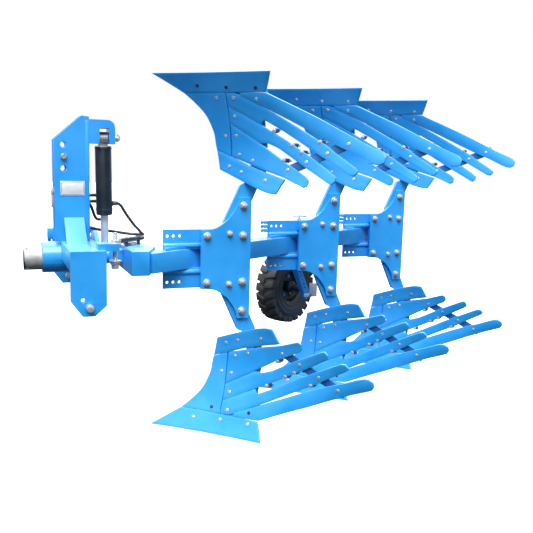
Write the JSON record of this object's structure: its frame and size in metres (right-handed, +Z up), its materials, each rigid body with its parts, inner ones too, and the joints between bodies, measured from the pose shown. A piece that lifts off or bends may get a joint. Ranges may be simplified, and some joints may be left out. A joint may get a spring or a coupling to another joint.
{
  "type": "reversible plough",
  "caption": "Mounted reversible plough: headstock, turnover cylinder, slanted beam with upper and lower slatted plough bodies, and a depth wheel.",
  "frame": {"origin": "centre of the bounding box in plan, on the floor under the lower shares", "axes": "+X rearwards against the travel direction, +Y to the far side, +Z up; the turnover axis runs along X"},
  "size_m": [2.7234, 1.7054, 1.6874],
  "materials": {
    "blue_paint": "gloss",
    "bare_steel": "satin",
    "rod_chrome": "polished",
    "black_paint": "satin",
    "tyre_rubber": "matte",
    "hose_rubber": "satin"
  },
  "bodies": {
    "headstock": {"headstock_crossbeam": "blue_paint", "near_mast_plate": "blue_paint", "far_mast_plate": "blue_paint", "near_link_plate": "blue_paint", "far_link_plate": "blue_paint", "top_link_pin": "bare_steel", "long_hose": "hose_rubber", "short_hose": "hose_rubber"},
    "turnover_head": {"swing_head": "blue_paint", "turnover_shaft": "bare_steel", "shaft_lock_nut": "bare_steel"},
    "plough_frame": {"main_beam": "blue_paint", "beam_pivot_pin": "bare_steel", "front_clamp_plate": "blue_paint", "front_beam_carrier": "blue_paint", "front_lower_leg": "blue_paint", "front_lower_frog": "blue_paint", "front_lower_share": "blue_paint", "front_lower_shin": "blue_paint", "front_lower_mouldboard": "blue_paint", "front_lower_landside": "blue_paint", "front_upper_leg": "blue_paint", "front_upper_frog": "blue_paint", "front_upper_share": "blue_paint", "front_upper_shin": "blue_paint", "front_upper_mouldboard": "blue_paint", "front_upper_landside": "blue_paint", "middle_clamp_plate": "blue_paint", "middle_beam_carrier": "blue_paint", "middle_lower_leg": "blue_paint", "middle_lower_frog": "blue_paint", "middle_lower_share": "blue_paint", "middle_lower_shin": "blue_paint", "middle_lower_mouldboard": "blue_paint", "middle_lower_landside": "blue_paint", "middle_upper_leg": "blue_paint", "middle_upper_frog": "blue_paint", "middle_upper_share": "blue_paint", "middle_upper_shin": "blue_paint", "middle_upper_mouldboard": "blue_paint", "middle_upper_landside": "blue_paint", "rear_clamp_plate": "blue_paint", "rear_beam_carrier": "blue_paint", "rear_lower_leg": "blue_paint", "rear_lower_frog": "blue_paint", "rear_lower_share": "blue_paint", "rear_lower_shin": "blue_paint", "rear_lower_mouldboard": "blue_paint", "rear_lower_landside": "blue_paint", "rear_upper_leg": "blue_paint", "rear_upper_frog": "blue_paint", "rear_upper_share": "blue_paint", "rear_upper_shin": "blue_paint", "rear_upper_mouldboard": "blue_paint", "rear_upper_landside": "blue_paint"},
    "ram_barrel": {"cylinder_barrel": "black_paint"},
    "ram_rod": {"cylinder_rod": "rod_chrome"},
    "wheel_arm": {"wheel_arm": "blue_paint"},
    "depth_wheel": {"wheel_rim": "black_paint", "wheel_tyre": "tyre_rubber"}
  },
  "joints": [
    {"name": "turnover", "type": "hinge", "parent": "headstock", "child": "turnover_head", "pos_m": [-1.06571, -0.1262, 0.85369], "axis": [1, 0, 0], "range_deg": [0, 180], "deforming": ["long_hose", "short_hose"]},
    {"name": "beam_swing", "type": "hinge", "parent": "turnover_head", "child": "plough_frame", "pos_m": [-0.89571, -0.1262, 0.84369], "axis": [0, 0, 1], "range_deg": [-2.5, 2.5], "deforming": ["long_hose", "short_hose"]},
    {"name": "barrel_tilt", "type": "hinge", "parent": "headstock", "child": "ram_barrel", "pos_m": [-1.01571, -0.1262, 1.38169], "axis": [1, 0, 0], "range_deg": [-14.3, 0.1], "deforming": ["long_hose", "short_hose"]},
    {"name": "rod_swivel", "type": "hinge", "parent": "turnover_head", "child": "ram_rod", "pos_m": [-0.99921, -0.0602, 0.85369], "axis": [1, 0, 0], "range_deg": [-194.3, 0.1]},
    {"name": "wheel_arm_swing", "type": "hinge", "parent": "plough_frame", "child": "wheel_arm", "pos_m": [0.10078, 0.35177, 0.84369], "axis": [-0.516, 0.8566, 0], "range_deg": [-118.6, 0]},
    {"name": "wheel_spin", "type": "hinge", "parent": "wheel_arm", "child": "depth_wheel", "pos_m": [0.18686, 0.55772, 0.54068], "axis": [-0.516, 0.8566, 0], "continuous": true}
  ],
  "couplings": [
    {"joint": "barrel_tilt", "follows": "turnover", "ratio": -0.079167},
    {"joint": "rod_swivel", "follows": "turnover", "ratio": -1.0792}
  ]
}
